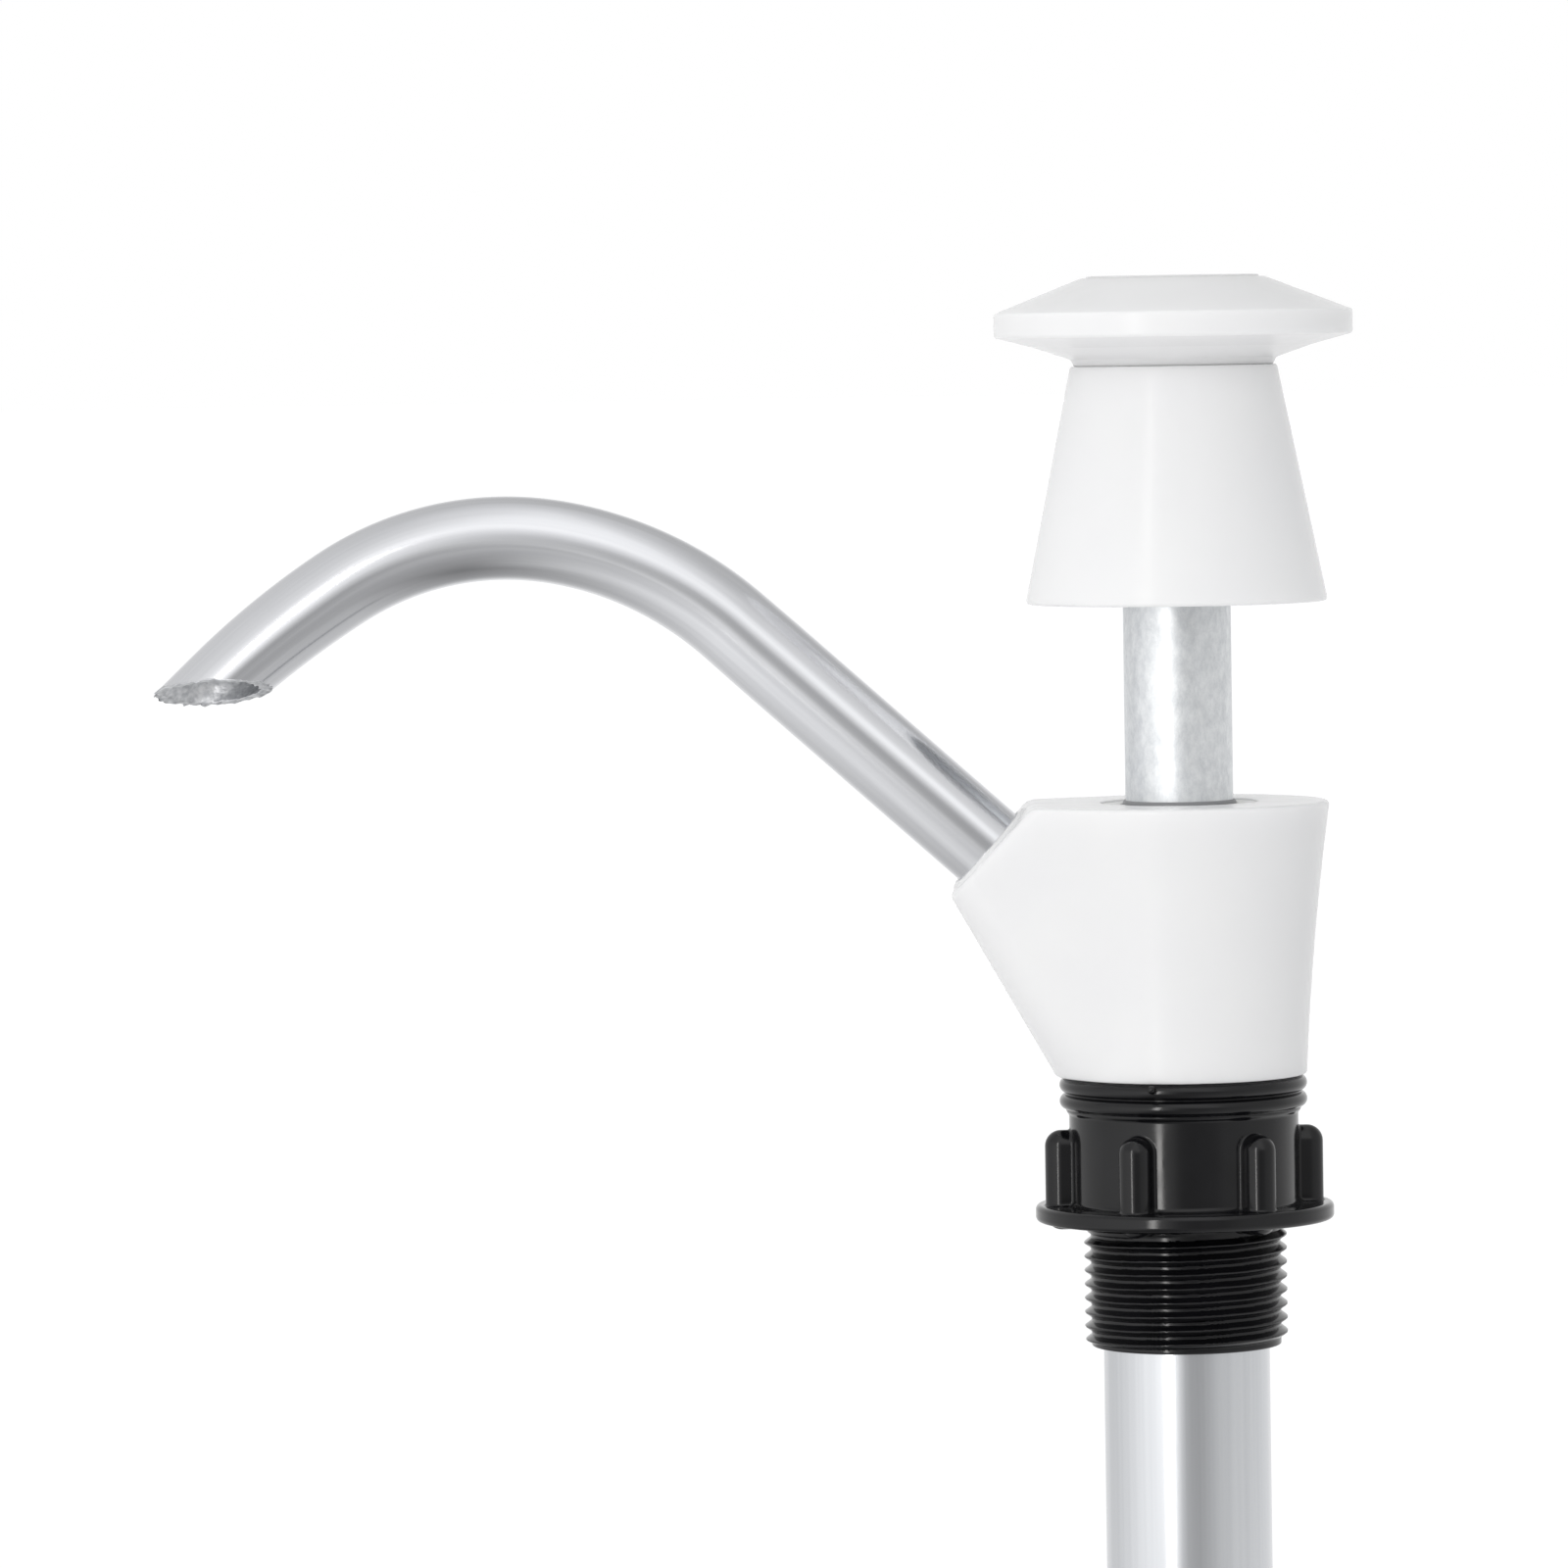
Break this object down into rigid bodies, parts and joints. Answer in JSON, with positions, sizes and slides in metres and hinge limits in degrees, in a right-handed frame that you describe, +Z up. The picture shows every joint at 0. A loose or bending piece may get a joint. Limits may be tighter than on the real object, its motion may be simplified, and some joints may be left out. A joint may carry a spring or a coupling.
{
  "type": "manual water pump",
  "caption": "Push-pull barrel pump: white palm knob on a metal rod, swivelling white head with a bent metal spout, ribbed threaded collar and a long tube below.",
  "frame": {"origin": "on the pump's axis, in the plane of the underside of the threaded collar's flange", "axes": "+Z up along the pump's axis towards the knob, the spout points along -X, the viewer of the picture stands at -Y"},
  "size_m": [0.1581, 0.0464, 0.2616],
  "materials": {
    "white_plastic": "glossy moulded white plastic",
    "black_plastic": "satin moulded black plastic",
    "bearing_plastic": "natural white bearing plastic, machined smooth",
    "polished_aluminium": "polished bent tube with a rough sawn end",
    "mill_aluminium": "mill finish, faint mottled drawing marks",
    "satin_aluminium": "satin drawn tube",
    "rubber": "matt black rubber",
    "stainless_steel": "bright stainless steel"
  },
  "bodies": {
    "collar": {"threaded_collar": "black_plastic", "snap_ring": "stainless_steel"},
    "head": {"pump_head": "white_plastic", "swivel_o_ring": "rubber", "spout_tube": "polished_aluminium", "spout_o_ring": "rubber", "guide_bush": "bearing_plastic", "gland_seal": "rubber", "cylinder_tube": "satin_aluminium", "cylinder_o_ring": "rubber", "foot_valve_body": "black_plastic", "foot_o_ring": "rubber", "foot_ball_cage": "bearing_plastic"},
    "plunger": {"knob_cap": "white_plastic", "knob_screw": "stainless_steel", "knob_washer": "stainless_steel", "knob_disc": "white_plastic", "knob_skirt": "white_plastic", "rod_plug": "bearing_plastic", "plunger_tube": "mill_aluminium", "piston_pin": "stainless_steel", "piston_body": "bearing_plastic", "piston_cup_seal": "rubber", "piston_end_cap": "bearing_plastic"},
    "piston_valve": {"piston_ball": "stainless_steel"},
    "foot_valve": {"foot_ball": "stainless_steel"}
  },
  "joints": [
    {"name": "head_swivel", "type": "hinge", "parent": "collar", "child": "head", "pos_m": [0, 0, 0.0188], "axis": [0, 0, 1], "continuous": true},
    {"name": "plunger_slide", "type": "slide", "parent": "head", "child": "plunger", "axis": [0, 0, 1], "range_m": [-0.0256, 0.0744]},
    {"name": "piston_ball_lift", "type": "slide", "parent": "plunger", "child": "piston_valve", "axis": [0, 0, 1], "range_m": [0, 0.003]},
    {"name": "foot_ball_lift", "type": "slide", "parent": "head", "child": "foot_valve", "axis": [0, 0, 1], "range_m": [0, 0.003]}
  ]
}
